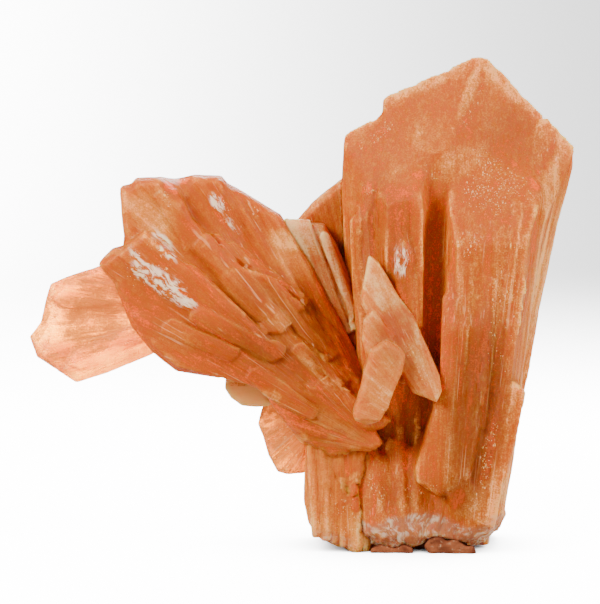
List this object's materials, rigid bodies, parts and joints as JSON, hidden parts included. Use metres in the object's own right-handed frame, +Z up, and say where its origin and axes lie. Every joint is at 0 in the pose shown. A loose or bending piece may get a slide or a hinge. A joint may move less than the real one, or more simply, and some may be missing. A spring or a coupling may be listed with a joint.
{
  "type": "stilbite specimen",
  "caption": "Mineral specimen of fanned flat stilbite crystals on a flat-cut base: an upright crystal with a leaning sheaf, crossing blades and a thin clear plate.",
  "frame": {"origin": "centre of the specimen's box seen from above, at the level of the flat cut that it stands on", "axes": "+Z up along the tall crystal, +X towards the tall crystal's side and away from the leaning sheaf, +Y away from the side the picture shows"},
  "size_m": [0.1082, 0.0314, 0.0976],
  "materials": {
    "stilbite_peach": "pearly to vitreous peach-orange crystal, cloudy, darker orange in the recesses",
    "stilbite_tan": "cloudy tan-peach crystal with a pearly face",
    "stilbite_cream": "pale cream-peach crystal, satin",
    "stilbite_clear": "thin, partly clear, straw-peach crystal with cloudy patches",
    "matrix_rock": null
  },
  "bodies": {
    "root": {"matrix_crust": "matrix_rock", "tall_crystal": "stilbite_peach", "foot_columns": "stilbite_peach", "leaning_sheaf": "stilbite_peach", "crossed_crystals": "stilbite_cream", "middle_blade": "stilbite_tan", "rear_blade": "stilbite_peach", "pale_crystal": "stilbite_clear", "lower_plate": "stilbite_clear", "lower_tab": "stilbite_peach"}
  },
  "joints": []
}
